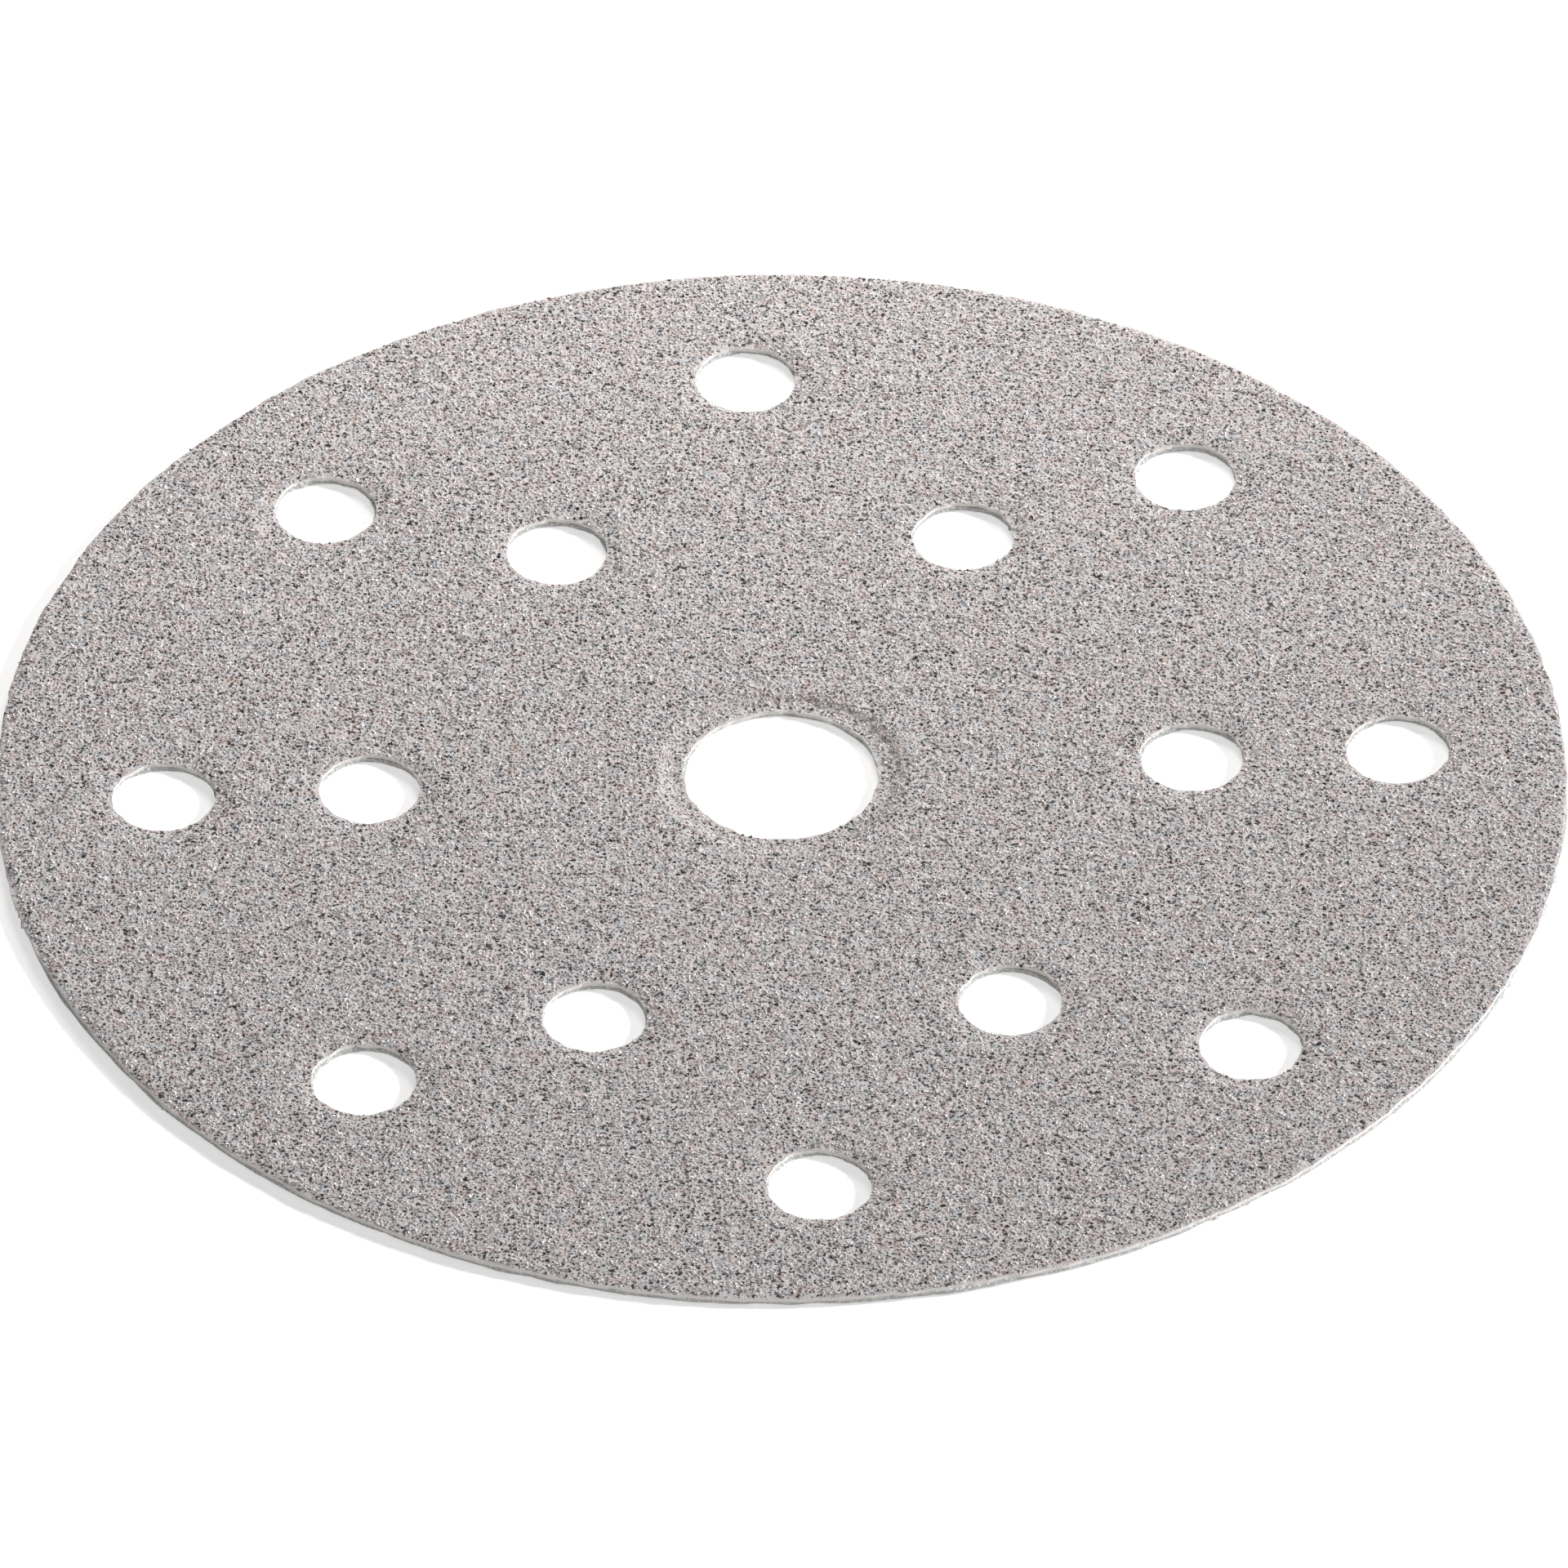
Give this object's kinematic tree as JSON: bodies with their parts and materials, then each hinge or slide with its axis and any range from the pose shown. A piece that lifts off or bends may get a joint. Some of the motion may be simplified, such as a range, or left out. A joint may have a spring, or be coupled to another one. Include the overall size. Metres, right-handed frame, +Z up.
{
  "type": "hook and loop sanding disc",
  "caption": "Round flexible sanding disc, grit coated paper over a loop fabric backing, with a centre hole and two circles of dust extraction holes.",
  "frame": {"origin": "centre of the disc on the lower face of its loop fabric", "axes": "+Z up through the grit face; +X from the centre through a hole of each circle"},
  "size_m": [0.1524, 0.1524, 0.0013],
  "materials": {
    "grit_coat": "coarse mineral grain bonded in resin, matte, with a fine sparkle",
    "loop_velour": "brushed knitted loops, soft and matte"
  },
  "bodies": {
    "root": {"abrasive_sheet": "grit_coat", "loop_fabric": "loop_velour"}
  },
  "joints": []
}
